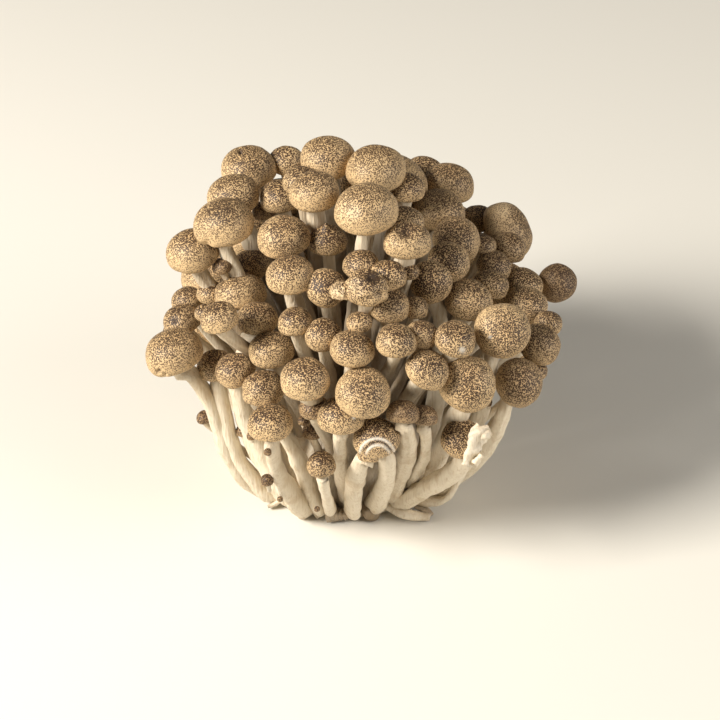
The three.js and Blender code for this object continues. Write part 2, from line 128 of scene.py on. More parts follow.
# Caps from the nearest to the farthest: across, down and width as pixels in the view, then extras.
# Extras: how it leans, how tall it is, the height of its point, where it is torn off, how much nearer it is,
# its height above the cut, and whether it is bare, with no stem.
CAP_ROWS = {
    "cap_lobed": [[376, 437, 46, {"lean": [0, -0.2]}], [370, 452, 25]],
    "cap_ball_low": [[321, 464, 29, {"tall": 0.85}]],
    "cap_torn": [[462, 438, 43, {"lean": [-0.15, -0.4], "cut": 0.8}]],
    "cap_low_left": [[270, 422, 46]],
    "cap_dark_low": [[403, 412, 34, {"lean": [0, 0.3]}], [424, 416, 29, {"lean": [0, 0.4]}]],
    "cap_front": [[363, 391, 56, {"lean": [0, -0.25]}], [341, 415, 46]],
    "cap_left_of_front": [[305, 378, 49, {"lean": [0, -0.1]}]],
    "cap_tilted": [[428, 369, 44, {"lean": [0.35, -0.25]}]],
    "cap_facing_low": [[468, 383, 57, {"lean": [0, -0.75]}]],
    "cap_facing_right": [[503, 330, 56, {"lean": [0, -0.9]}]],
    "cap_right_pair": [[540, 343, 43, {"lean": [0.1, -0.3]}], [549, 322, 28]],
    "cap_right_low": [[520, 382, 49, {"lean": [0.1, -0.75]}], [536, 370, 24]],
    "cap_left_low": [[263, 388, 44]],
    "cap_shaded_low": [[314, 407, 30]],
    "cap_left_pair": [[235, 369, 40, {"lean": [0, -0.15]}], [215, 365, 38]],
    "cap_far_left": [[173, 351, 58]],
    "cap_pair_left": [[271, 349, 46], [257, 318, 41]],
    "cap_middle_pair": [[352, 348, 45], [359, 322, 26]],
    "cap_nick": [[455, 338, 43]],
    "cap_middle_right": [[396, 340, 41], [422, 334, 34]],
    "cap_middle_left": [[323, 334, 37, {"lean": [0, -0.2]}], [295, 321, 35]],
    "cap_small_left": [[219, 317, 38], [204, 312, 20]],
    "cap_lumpy": [
        [367, 287, 42, {"lean": [0, -0.2]}], [388, 275, 38], [361, 264, 37], [342, 290, 25, {"bare": True}],
    ],
    "cap_small_middle": [[409, 271, 21]],
    "cap_under_lumpy": [[389, 305, 43], [415, 307, 28]],
    "cap_lumpy_left": [[182, 319, 38], [187, 299, 32]],
    "cap_flat_left": [[240, 292, 51, {"lean": [0, 0.35]}], [210, 292, 28]],
    "cap_centre_left": [[326, 287, 40, {"lean": [0, -0.7]}], [290, 274, 48]],
    "cap_upper_right": [[431, 281, 43, {"lean": [0, -0.8]}], [449, 261, 43, {"lean": [0, -0.4]}]],
    "cap_right_edge": [[527, 304, 43], [524, 284, 40]],
    "cap_round_right": [[558, 282, 39, {"lean": [0.2, -0.6], "tall": 0.85}]],
    "cap_big_front": [[366, 208, 64, {"nearer": 5}]],
    "cap_dented": [[407, 240, 48], [405, 221, 38]],
    "cap_upper_left": [[283, 236, 52, {"lean": [0, -0.1]}]],
    "cap_pointed": [[327, 240, 38, {"point": 0.6, "nearer": -16}]],
    "cap_right_mid": [[469, 299, 48, {"lean": [0, -0.2]}], [491, 284, 36]],
    "cap_right_upper": [[457, 238, 48, {"lean": [0, -0.4]}], [440, 210, 52]],
    "cap_right_slim": [[494, 265, 36], [484, 245, 26]],
    "cap_tall_right": [[509, 247, 36], [508, 230, 60, {"lean": [1.2, 0]}], [478, 218, 32]],
    "cap_left_shoulder": [[223, 222, 60, {"nearer": 3}], [233, 195, 52]],
    "cap_left_edge": [[192, 250, 54], [222, 266, 20]],
    "cap_shaded_left": [[252, 264, 38]],
    "cap_top_left_mid": [[314, 191, 51, {"nearer": 2}], [300, 180, 36]],
    "cap_top_left_small": [[280, 196, 42], [264, 210, 24]],
    "cap_top_middle": [[376, 168, 60], [406, 187, 38], [328, 157, 55]],
    "cap_top_right": [[449, 182, 50], [424, 172, 40]],
    "cap_top_left": [[248, 167, 55], [286, 160, 36]],
}

# Small young caps low between the stems, and the height of each above the cut
PIN_ROWS = {
    "pin_left": [[204, 417, 16, {"height": 36}]],
    "pin_left_low": [[243, 430, 15, {"height": 32}]],
    "pin_gap": [[313, 430, 22, {"height": 38}], [304, 420, 13, {"height": 38}]],
}

# Front stems that show from cap to foot: thickness in mm and pixels down the stem
FRONT_STEMS = {
    "cap_far_left 0": (5.8, [[192, 374], [210, 400], [220, 424], [229, 452], [255, 487]]),
    "cap_left_pair 1": (5.8, [[218, 385], [226, 420], [237, 455], [268, 491]]),
    "cap_left_pair 0": (5.8, [[237, 388], [246, 420], [262, 450], [284, 496]]),
    "cap_low_left 0": (5.4, [[272, 445], [281, 478], [303, 508]]),
    "cap_left_low 0": (5.4, [[268, 412], [288, 440], [302, 468], [319, 506]]),
    "cap_ball_low 0": (3.8, [[323, 482], [331, 510]]),
    "cap_front 1": (5.0, [[340, 434], [341, 460], [347, 500]]),
    "cap_lobed 1": (5.0, [[363, 458], [355, 480], [352, 512]]),
    "cap_lobed 0": (5.6, [[386, 458], [386, 480], [374, 504]]),
    "cap_dark_low 0": (4.8, [[406, 428], [407, 455], [390, 499]]),
    "cap_dark_low 1": (3.6, [[425, 430], [424, 458], [402, 492]]),
    "cap_torn 0": (6.2, [[464, 460], [450, 475], [422, 490], [400, 501]]),
    "cap_right_low 0": (5.2, [[506, 404], [497, 430], [478, 458], [442, 484]]),
    "cap_facing_right 0": (5.4, [[490, 364], [484, 400], [469, 435], [436, 478]]),
    "cap_right_pair 0": (4.6, [[525, 366], [508, 402], [487, 436], [450, 482]]),
    "cap_pair_left 1": (4.8, [[246, 340], [240, 380], [245, 420], [262, 462], [288, 500]]),
    "cap_upper_right 0": (4.6, [[435, 303], [441, 325], [438, 380], [428, 440], [410, 485]]),
    "cap_left_shoulder 0": (5.0, [[223, 245], [231, 262], [240, 285], [280, 430], [305, 490]]),
    "cap_facing_low 0": (5.8, [[460, 410], [447, 438], [433, 464], [410, 492]]),
}

# Flesh with no cap: thickness at its ends, pixels from the foot outwards, heights of its ends
FLESH_PIECES = {
    "flap": ((5.0, 3.0), [[452, 474], [468, 458], [474, 442], [486, 430]], (15, 32)),
    "hanging": ((3.8, 2.6), [[418, 499], [444, 500], [458, 482], [468, 464]], (4, 20)),
    "stub": ((4.4, 3.0), [[382, 500], [398, 512], [412, 517], [430, 517]], (4, 2.2)),
    "side_sliver": ((3.0, 1.6), [[446, 490], [464, 472], [480, 450], [487, 432]], (8, 36)),
}

# Finer things that the solid part leaves out.
# Scraps at the foot: thickness at both ends, pixels, heights of both ends and how dim
SCRAPS = [
    ((4.2, 2.2), [[303, 500], [304, 511], [301, 519]], (5, 1.4), 0.0),
    ((3.4, 2.0), [[313, 500], [316, 511], [320, 517]], (5, 1.4), 0.1),
    ((4.6, 3.8), [[352, 496], [350, 508], [348, 516]], (6, 2.2), 0.0),
    ((3.6, 2.4), [[384, 496], [379, 508], [373, 515]], (6, 1.6), 0.2),
    ((5.6, 5.0), [[366, 503], [370, 511], [373, 516]], (4, 2.6), 0.65),
    ((3.0, 1.4), [[283, 496], [276, 503], [268, 507]], (4, 1.2), 0.3),
    ((2.6, 1.6), [[414, 503], [424, 509], [431, 516]], (3, 1.2), 0.6),
]
GILL_SCRAP = {"from": (331, 508), "to": (329, 521), "step": (4.0, 0.6), "count": 5, "thick": 1.2, "dim": 1.1}

# The torn flesh that stands up beside the torn cap: pixels and thickness in mm at each
TORN_SHEETS = [
    [(467, 466, 3.4), (470, 456, 3.6), (474, 446, 3.8), (478, 437, 4.8), (484, 430, 4.8), (489, 427, 2.4)],
    [(474, 464, 2.2), (479, 459, 2.6), (482, 455, 2.0)],
    [(479, 442, 2.2), (485, 436, 3.2), (490, 431, 2.4)],
    [(469, 440, 1.8), (474, 432, 2.8), (480, 426, 2.6)],
]

# Tiny pins among the front stems: pixel and width in pixels
TINY_PINS = [
    [(251, 436), 9], [(267.5, 452), 8], [(267, 480), 13], [(488, 402), 9], [(280, 499), 6], [(317, 509), 6],
]


# Small helpers
def mix(start, end, share):
    return start + (end - start) * share


def unit(vector):
    return vector / math.sqrt(float(vector @ vector))


def length(vector):
    return math.sqrt(float(vector @ vector))


def full_turn(sides):
    return 2 * math.pi * np.arange(sides) / sides


def smoothstep(value, low, high):
    share = np.clip((value - low) / (high - low), 0, 1)
    return share * share * (3 - 2 * share)


def make_draw(seed):
    state = [seed]

    def draw():
        state[0] = (state[0] * 1664525 + 1013904223) % 4294967296
        return state[0] / 4294967296

    return draw


# The view: a point at some depth behind a pixel, and the pixel that a point shows at
FORWARD = np.array([0, math.cos(ELEVATION), -math.sin(ELEVATION)])
UPWARD = np.array([0, math.sin(ELEVATION), math.cos(ELEVATION)])
EYE = np.array([0, 0, TARGET_HEIGHT]) - DISTANCE * FORWARD


def sight_point(pixel, depth):
    ray = FORWARD + UPWARD * ((MIDDLE - pixel[1]) / FOCAL)
    ray[0] += (pixel[0] - MIDDLE) / FOCAL
    return EYE + ray * depth


def seen_at(points):
    from_eye = points - EYE
    depth = from_eye @ FORWARD
    across = MIDDLE + FOCAL * from_eye[..., 0] / depth
    down = MIDDLE - FOCAL * (from_eye @ UPWARD) / depth
    return np.stack([across, down], axis=-1)


def depth_at_height(pixel, height):
    return (EYE[2] - height) / (EYE[2] - sight_point(pixel, 1)[2])


def depth_at_crown(pixel):
    depths = np.arange(DISTANCE - NEAREST_AHEAD, DISTANCE + FARTHEST_BEYOND, SLIDE_STEP)
    points = EYE + (sight_point(pixel, 1) - EYE) * depths[:, None]
    values = (((points - CROWN_MIDDLE) / CROWN_REACH) ** 2).sum(axis=1) - 1
    inside = np.nonzero(values <= 0)[0]
    return depths[inside[0]] if len(inside) else depths[values.argmin()]


# Caps as rounded forms
class Cap:
    def __init__(self, node, index, middle, wide, slope_out, extras):
        lean = extras.get("lean", (0, 0))
        self.node = node
        self.index = index
        self.middle = middle
        self.axis = unit(np.array([
            slope_out[0] * (middle[0] - CROWN_MIDDLE[0]) / CROWN_REACH[0] + lean[0],
            slope_out[1] * (middle[1] - CROWN_MIDDLE[1]) / CROWN_REACH[1] + lean[1],
            1.0,
        ]))
        self.radius = wide / 2
        self.pixel = None
        self.width = None
        self.half = self.radius * extras.get("tall", CAP_HEIGHT)
        self.depth = float((middle - EYE) @ FORWARD)
        self.extras = extras

    @property
    def name(self):
        return f"{self.node} {self.index}"


def reach_along(axis, radius, half, direction):
    up = (direction * axis).sum(axis=-1)
    return 1 / np.sqrt((up / half) ** 2 + np.maximum(0, 1 - up * up) / radius ** 2)


caps = []


class Crowd:
    """The caps placed so far, as arrays."""

    def __init__(self):
        self.middles = np.zeros((0, 3))
        self.axes = np.zeros((0, 3))
        self.radii = np.zeros(0)
        self.halves = np.zeros(0)
        self.nodes = np.array([], dtype=object)

    def add(self, cap):
        caps.append(cap)
        self.middles = np.vstack([self.middles, cap.middle])
        self.axes = np.vstack([self.axes, cap.axis])
        self.radii = np.append(self.radii, cap.radius)
        self.halves = np.append(self.halves, cap.half)
        self.nodes = np.append(self.nodes, cap.node)

    def conflict(self, cap):
        """What stands against a place: caps too near, and no cap of its own group to grow into."""
        room_in_group = NEIGHBOUR_REACH if cap.index > 0 else -PRESSED
        lines = cap.middle - self.middles
        apart = np.sqrt((lines ** 2).sum(axis=1))
        near = apart <= NEIGHBOUR_REACH
        apart = apart[near]
        lines = lines[near] / apart[:, None]
        room = apart - reach_along(self.axes[near], self.radii[near], self.halves[near], lines)
        room -= reach_along(cap.axis, cap.radius, cap.half, lines)
        own = self.nodes[near] == cap.node
        if own.any():
            room_in_group = min(room_in_group, room[own].min())
        cost = np.maximum(0, GAP - room[~own]).sum()
        return cost + PRICE["apart"] * max(0, room_in_group + PRESSED) + max(0, -room_in_group - 2 * PRESSED)


crowd = Crowd()


def out_of_order(cap, pixel, width):
    """How far a place is from the order of the rows, where each cap partly hides the caps after it."""
    cost = 0
    for other in caps:
        if other.pixel and math.dist(other.pixel, pixel) < OVERLAPPING * (other.width + width) / 2:
            cost += max(0, other.depth + AHEAD - cap.depth)
    return cost


def place_front_caps(rows):
    """A front cap slides along its line of sight to the place with the least against it."""
    for node, members in rows.items():
        for index, member in enumerate(members):
            pixel, width = member[:2], member[2]
            extras = member[3] if len(member) > 3 else {}
            if "height" in extras:
                start = depth_at_height(pixel, extras["height"])
            else:
                start = depth_at_crown(pixel) - extras.get("nearer", 0)
            best = None
            for shift in np.arange(SLIDE_FROM, SLIDE_TO + SLIDE_STEP, SLIDE_STEP):
                depth = start + shift
                cap = Cap(node, index, sight_point(pixel, depth), width * depth / FOCAL, CROWN_LEAN, extras)
                far = -PRICE["nearer"] * shift if shift < 0 else PRICE["farther"] * shift
                cost = crowd.conflict(cap) + PRICE["disorder"] * out_of_order(cap, pixel, width) + far
                if best is None or cost < best[0]:
                    best = (cost, cap)
            best[1].pixel = pixel
            best[1].width = width
            crowd.add(best[1])


def place_back_caps():
    """Rows of caps round the far side, in small groups that grew together."""
    draw = make_draw(SEEDS["back"])
    group = 0
    for row, row_height in enumerate(BACK_ROWS):
        index = 0
        turn = row * BACK_ROW_TURN
        group += 1
        while turn < BACK_TURN:
            wide = mix(*BACK_WIDTHS, draw())
            height = row_height + mix(-BACK_UNEVEN, BACK_UNEVEN, draw())
            found = find_back_place(f"cap_back_{group:02d}", index, wide, height, turn)
            if found:
                crowd.add(found[1])
                turn = found[2]
                index += 1
            else:
                turn += BACK_SKIPPED_TURN
            if index > 0 and (index == GROWN_TOGETHER or not found):
                index = 0
                group += 1
        if index == 0:
            group -= 1


def find_back_place(node, index, wide, height, from_turn):
    best = None
    for turn in np.arange(from_turn, min(from_turn + BACK_SEARCH_TURN, BACK_TURN), BACK_TURN_STEP):
        for lift in BACK_LIFTS:
            for inset in BACK_INSETS:
                cap = Cap(node, index, back_point(height + lift, turn, inset), wide, BACK_LEAN, {})
                away = PRICE["inset"] * inset + PRICE["lift"] * lift + PRICE["turn"] * (turn - from_turn)
                cost = crowd.conflict(cap) + away
                if best is None or cost < best[0]:
                    best = (cost, cap, turn)
    return best if best and best[0] < BACK_PATIENCE else None


def back_point(height, turn, inset):
    angle = math.radians(turn)
    ring = math.sqrt(1 - ((height - BACK_LEVEL) / BACK_REACH[2]) ** 2)
    across = (BACK_REACH[0] * ring - inset) * math.cos(angle)
    back = (BACK_REACH[1] * ring - inset) * math.sin(angle)
    return np.array([CROWN_MIDDLE[0] + across, CROWN_MIDDLE[1] + back, height])


# Stems
def stem_radius(cap):
    return min(STEM_THICKEST, max(STEM_THINNEST, STEM_SHARE * 2 * cap.radius))


def seat_level(cap):
    share = min(1, SEAT_ROOM * stem_radius(cap) / (LIP[0] * cap.radius))
    return mix(UNDERSIDE, LIP[1], share)


def route_in_view(pixels, first_depth, last_depth):
    steps = [0] + [math.dist(pixels[i], pixels[i - 1]) for i in range(1, len(pixels))]
    shares = np.cumsum(steps) / sum(steps)
    return [sight_point(pixel, mix(first_depth, last_depth, share)) for pixel, share in zip(pixels, shares)]


def into_foot(point, share):
    return np.array([mix(FOOT_MIDDLE[0], point[0], share), mix(FOOT_MIDDLE[1], point[1], share), ROOT_HEIGHT])


def stem_route(cap, draw):
    """A stem from its root in the foot, out and up to the seat under its cap."""
    seat = cap.middle + cap.axis * (seat_level(cap) * cap.half - GAP)
    neck = seat - NECK_SHARE * cap.radius * cap.axis
    if cap.name in FRONT_STEMS:
        wide, pixels = FRONT_STEMS[cap.name]
        foot_depth = depth_at_height(pixels[-1], wide / 2 + STEM_REST)
        along = route_in_view(pixels, float((neck - EYE) @ FORWARD), foot_depth)
        route = [into_foot(along[-1], FRONT_ROOT), *along[::-1], neck, seat]
        return {"cap": cap, "route": route, "radius": wide / 2, "shown": True}
    out = np.array([neck[0] - FOOT_MIDDLE[0], neck[1] - FOOT_MIDDLE[1], 0])
    width = length(out)
    out = out / width
    sideways = np.array([-out[1], out[0], 0])
    spread = min(1, width / neck[2])
    bend = mix(*STEM_BENDS, float(smoothstep(width / neck[2], *STEM_BENDS_BETWEEN)))
    sway = mix(-STEM_SWAY, STEM_SWAY, draw())
    turned = mix(-STEM_SWAY, STEM_SWAY, draw())
    route = []
    for share in (WIDE_STEM_LEVELS if width > WIDE_STEM else STEM_LEVELS):
        along = mix(ROOT_SPREAD * spread, width, share ** bend)
        aside = mix(turned, 0, share) + sway * math.sin(math.pi * share)
        level = np.array([*FOOT_MIDDLE, mix(ROOT_HEIGHT, neck[2], share)])
        route.append(level + along * out + aside * sideways)
    return {"cap": cap, "route": [*route, seat], "radius": stem_radius(cap), "shown": False}


def bend_clear(stem):
    """A stem is bent clear of its neighbours' caps, each stretch where it comes nearest to a cap."""
    route = stem["route"]
    needed = BEND_ROOM * stem["radius"] + GAP
    for _ in range(BEND_ROUNDS):
        for step in range(len(route) - 2):
            for order, cap in enumerate(caps):
                if cap is not stem["cap"]:
                    push_stretch(route, step, order, needed)


def push_stretch(route, step, order, needed):
    cap = caps[order]
    start = route[step]
    stretch = route[step + 1] - start
    share = min(1, max(0, float((cap.middle - start) @ stretch) / float(stretch @ stretch)))
    away = start + share * stretch - cap.middle
    apart = length(away)
    if apart > cap.radius + needed:
        return
    short = reach_along(cap.axis, cap.radius + needed, cap.half + needed, away / apart) - apart
    if short <= 0:
        return
    away[2] = 0
    away = unit(away) * min(BEND_PUSH, short)
    if step > 0:
        route[step] = start + (1 - share) * away
    if step + 1 < len(route) - 2:
        route[step + 1] = route[step + 1] + share * away


# Meshes from grids of points: rings of equal sides, closed by a point at each end
def ring_faces(rings, sides, first=0):
    """Faces of one skin whose points are: start, rings one after another, end."""
    at = first + 1 + np.arange(rings * sides).reshape(rings, sides)
    after = np.roll(at, -1, axis=1)
    quads = np.stack([at[:-1], after[:-1], after[1:], at[1:]], axis=-1).reshape(-1, 4)
    last = first + 1 + rings * sides
    start_fan = np.stack([np.full(sides, first), after[0], at[0]], axis=-1)
    end_fan = np.stack([np.full(sides, last), at[-1], after[-1]], axis=-1)
    return quads, np.vstack([start_fan, end_fan])


class Skin:
    """Collects the points, faces and point values of one object."""

    def __init__(self, name):
        self.name = name
        self.points = []
        self.quads = []
        self.fans = []
        self.values = {}
        self.count = 0

    def add(self, points, rings, sides, **values):
        quads, fans = ring_faces(rings, sides, self.count)
        self.points.append(points)
        self.quads.append(quads)
        self.fans.append(fans)
        for key, value in values.items():
            self.values.setdefault(key, []).append(np.broadcast_to(value, len(points)))
        self.count += len(points)

    def make(self, material):
        faces = [face for block in self.quads + self.fans for face in block.tolist()]
        mesh = bpy.data.meshes.new(self.name)
        mesh.from_pydata((np.vstack(self.points) * MM).tolist(), [], faces)
        for key, blocks in self.values.items():
            layer = mesh.attributes.new(key, "FLOAT", "POINT")
            layer.data.foreach_set("value", np.concatenate(blocks).astype(np.float32))
        mesh.polygons.foreach_set("use_smooth", np.ones(len(mesh.polygons), dtype=bool))
        mesh.materials.append(material)
        mesh.update()
        piece = bpy.data.objects.new(self.name, mesh)
        bpy.context.scene.collection.objects.link(piece)
        return piece


def ring_round(middle, axis, first_side, radius, sides):
    second_side = np.cross(axis, first_side)
    angles = full_turn(sides)
    return middle + radius * (np.cos(angles)[:, None] * first_side + np.sin(angles)[:, None] * second_side)


def side_of(axis, hint=(1.0, 0.0, 0.0)):
    hint = np.asarray(hint, float)
    return unit(hint - (hint @ axis) * axis)


def curve_through(knots, steps):
    """Evenly spaced points of a smooth curve through the knots."""
    knots = np.asarray(knots)
    padded = np.vstack([2 * knots[0] - knots[1], knots, 2 * knots[-1] - knots[-2]])
    fine = []
    for i in range(1, len(padded) - 2):
        before, start, end, after = padded[i - 1:i + 3]
        t = np.linspace(0, 1, CURVE_STEPS, endpoint=False)[:, None]
        fine.append(0.5 * (2 * start + (end - before) * t
                           + (2 * before - 5 * start + 4 * end - after) * t ** 2
                           + (3 * start - 3 * end + after - before) * t ** 3))
    fine = np.vstack([*fine, knots[-1:]])
    travelled = np.concatenate([[0], np.cumsum(np.linalg.norm(np.diff(fine, axis=0), axis=1))])
    wanted = np.linspace(0, travelled[-1], steps)
    return np.stack([np.interp(wanted, travelled, fine[:, i]) for i in range(3)], axis=1)


LUMP_WAVES = 5
LUMP_WAVE_SPREAD = (0.6, 1.5)
LUMP_FULL = 2.6


def lumps(points, seed, size):
    """A smooth, seeded unevenness between about -1 and 1, made of a few slanting waves."""
    draw = make_draw(seed)
    total = np.zeros(len(points))
    for _ in range(LUMP_WAVES):
        direction = np.array([draw() - 0.5, draw() - 0.5, draw() - 0.5])
        direction = unit(direction) * mix(*LUMP_WAVE_SPREAD, draw()) * 2 * math.pi / size
        total += np.sin(points @ direction + 2 * math.pi * draw())
    return total / LUMP_FULL


# A cap's section from the top down: share of its radius, share of its half height
CAP_SECTION = np.array([
    (0.06, 1.0), (0.16, 0.99), (0.28, 0.96), (0.40, 0.915), (0.52, 0.855), (0.63, 0.78), (0.73, 0.68),
    (0.82, 0.56), (0.89, 0.42), (0.945, 0.27), (0.98, 0.12), (1.0, -0.04), (1.01, -0.19), (1.008, -0.33),
    (0.99, -0.44), (0.96, -0.53), (0.92, -0.59), (0.88, -0.62), (0.845, -0.62), (0.815, -0.60),
    (0.76, -0.56), (0.66, -0.50), (0.52, -0.44), (0.36, -0.385), (0.18, -0.35),
])
MARGIN_STEP = 17
GILLS = 32
GILL_DEPTH = 0.035
GILLS_BETWEEN = (0.15, 0.5)

# Waves of a cap's rim and droop: count and height of each, the least share of it that is drawn, and the
# shares of the radius between which they grow
RIM_WAVES = [(2, 0.028), (3, 0.018), (5, 0.010), (8, 0.005)]
RIM_LEAST = 0.4
RIM_BETWEEN = (0.2, 1.0)
DROOP_WAVES = [(1, 0.07), (2, 0.04)]
DROOP_LEAST = 0.3
DROOP_BETWEEN = (0.5, 1.0)

# Lumps of a cap: height and size as shares of its radius, first broad and then fine
BROAD_LUMPS = (0.022, 1.7)
FINE_LUMPS = (0.006, 0.55)

# The point of a pointed cap: height, reach and steepness of its swelling and of its tip
SWELLING = (0.25, 0.5, 2)
TIP = (0.75, 0.32, 1.2)

# The torn side of a cap: its direction, and height and size of its lumps in mm
TORN_SIDE = unit(np.array([0.75, -0.5, 0.3]))
TORN_LUMPS = (0.45, 3.0)

# Marks show where a cap faces the view, and half rings fade within some pixels
FACING_FULL = 0.25
HALF_RING_FADE = 8
MARK_FILL = 1.4


def mark(pixel, reach, pushed=0.0, cream=0.0, torn=0.0, dark=0.0, ring=0.0):
    """A mark on a cap where it shows: pixels of reach and of a half ring's radius, and mm pushed outwards."""
    colours = {"cream": cream, "torn": torn, "dark": dark}
    return {"pixel": pixel, "reach": reach, "ring": ring, "pushed": pushed, "colours": colours}


# Dark marks where a cap is pushed in are painted shade in the dent; dark marks elsewhere are darker skin
MARKS = {
    "cap_top_left 0": [mark((240, 151), 2.2, pushed=-1.5, dark=0.5)],
    "cap_left_shoulder 0": [mark((206, 245), 5, pushed=-0.8), mark((222, 212), 13, dark=0.3)],
    "cap_big_front 0": [mark((355, 213), 5, pushed=-0.4, cream=0.6), mark((347, 208), 12, cream=0.3)],
    "cap_dented 0": [mark((406, 231), 9, pushed=-2.0, dark=0.35)],
    "cap_tall_right 1": [mark((503, 209), 8, cream=0.5)],
    "cap_facing_right 0": [mark((490, 337), 1.6, torn=0.45), mark((486, 352), 6, cream=0.3)],
    "cap_nick 0": [mark((462.5, 350), 2.6, pushed=-0.7, torn=0.75)],
    "cap_front 1": [mark((354, 417.5), 1.5, pushed=0.3, torn=0.9)],
    "cap_lobed 0": [
        mark((377, 456), 1.3, pushed=0.4, torn=0.6, ring=17.5),
        mark((378, 457), 1.2, pushed=-0.3, dark=0.6, ring=14.5),
        mark((378, 457), 1.2, pushed=0.4, torn=0.6, ring=12),
    ],
    "cap_lobed 1": [mark((372, 452), 8, cream=0.3)],
    "cap_lumpy 0": [
        mark((373, 277), 7, pushed=-1.0, dark=0.7),
        mark((356, 284), 8, pushed=0.4, cream=0.5),
        mark((378, 292), 5, pushed=-0.6, dark=0.3),
    ],
    "cap_lumpy 1": [mark((392, 268), 7, pushed=0.6), mark((384, 283), 5, dark=0.4)],
    "cap_lumpy 2": [mark((362, 258), 6, pushed=0.5)],
    "cap_lumpy 3": [mark((341, 291), 16, cream=0.5)],
    "cap_far_left 0": [
        mark((158, 372), 2.2, pushed=-1.2, dark=0.5),
        mark((165, 375), 1.8, pushed=-0.9, cream=0.4),
    ],
    "cap_lumpy_left 0": [mark((175, 321), 3, pushed=-0.6, dark=0.6)],
    "cap_facing_low 0": [mark((484, 369), 2.6, pushed=-0.2, dark=0.5), mark((487, 380), 9, cream=0.3)],
}

# How much darker than the rest some caps are (darker skin, and painted shade on caps shaded by others), and
# how far each may differ by itself
DARKER_SKIN_AND_SHADE = {
    "cap_round_right": 0.95, "cap_dark_low": 0.9, "cap_ball_low": 0.3, "cap_lumpy_left": 0.25,
    "cap_tall_right": 0.3, "cap_right_slim": 0.35, "cap_top_right": 0.25, "cap_right_upper": 0.2,
    "cap_right_low": 0.2, "cap_right_pair": 0.25, "cap_small_middle": 0.3, "cap_shaded_left": 0.2,
    "cap_shaded_low": 0.6, "cap_pointed": 0.3, "cap_left_pair": 0.15,
    "pin_left": 1.0, "pin_left_low": 0.9, "pin_gap": 0.9,
    "cap_middle_right 1": 0.3, "cap_left_edge 1": 0.8, "cap_top_left_small 1": 0.8, "cap_lobed 1": 0.3,
}
TONE_SPREAD = 0.12

# Heights of the fine lumps of crumpled caps, as shares of their radius
CRUMPLED = {"cap_lumpy 0": 0.055, "cap_lumpy 1": 0.03, "cap_lumpy 3": 0.05, "cap_left_low 0": 0.025}

# Specks are fainter on wide old caps: radius where that starts and where it's full
FAINT_FROM = (6.0, 8.8)


def waves_round(angles, waves, least, draw):
    total = np.zeros(len(angles))
    for count, height in waves:
        total += height * mix(least, 1, draw()) * np.sin(count * angles + 2 * math.pi * draw())
    return total


def pointed(share):
    """The height of a cap's point at a share of its radius."""
    swelling = SWELLING[0] * np.exp(-(share / SWELLING[1]) ** SWELLING[2])
    return swelling + TIP[0] * np.maximum(0, 1 - share / TIP[1]) ** TIP[2]


def cap_form(cap, steps, angles, draw):
    """The points of a cap: the top, rings from the top down and the hollow where its stem ends."""
    section = [np.interp(steps, range(len(CAP_SECTION)), CAP_SECTION[:, i]) for i in (0, 1)]
    share, level = (values[:, None] * np.ones(len(angles)) for values in section)
    wobble = waves_round(angles, RIM_WAVES, RIM_LEAST, draw)
    share = share * (1 + wobble * smoothstep(share, *RIM_BETWEEN))
    droop = waves_round(angles, DROOP_WAVES, DROOP_LEAST, draw)
    level = level + droop * smoothstep(share, *DROOP_BETWEEN)
    below = smoothstep(steps[:, None], MARGIN_STEP, MARGIN_STEP + 2)
    ridge = GILL_DEPTH * np.cos(GILLS * angles)
    level = level + below * ridge * smoothstep(share, *GILLS_BETWEEN)
    point = cap.extras.get("point", 0)
    level = level + (level > 0) * point * pointed(share)
    first_side = side_of(cap.axis)
    second_side = np.cross(cap.axis, first_side)
    flat = np.cos(angles)[:, None] * first_side + np.sin(angles)[:, None] * second_side
    grid = cap.middle + cap.radius * share[..., None] * flat + cap.half * level[..., None] * cap.axis
    top = cap.middle + cap.half * (1 + point) * cap.axis
    hollow = cap.middle + cap.half * UNDERSIDE * cap.axis
    return np.vstack([top, grid.reshape(-1, 3), hollow])


def add_marks(points, out, marks):
    """Pushes the points at the marks of a cap, and tells how cream, torn and dark each point is."""
    colours = {key: np.zeros(len(points)) for key in ("cream", "torn", "dark")}
    shown = smoothstep(-(out @ FORWARD), 0.0, FACING_FULL)
    for spot in marks:
        places = seen_at(points)
        from_ring = np.abs(np.linalg.norm(places - spot["pixel"], axis=1) - spot["ring"])
        near = np.exp(-(from_ring / spot["reach"]) ** 2) * shown
        if spot["ring"]:
            near = near * smoothstep(spot["pixel"][1] - places[:, 1], 0, HALF_RING_FADE)
        points = points + out * (spot["pushed"] * near)[:, None]
        for key, values in colours.items():
            values[:] = np.maximum(values, spot["colours"][key] * np.minimum(1, MARK_FILL * near))
    return points, colours


def other_way_round(values, rings, sides):
    """Turns each ring round, because rings from the top down would face inwards."""
    grid = values[1:-1].reshape(rings, sides, -1)[:, ::-1]
    return np.concatenate([values[:1], grid.reshape(rings * sides, *values.shape[1:]), values[-1:]])


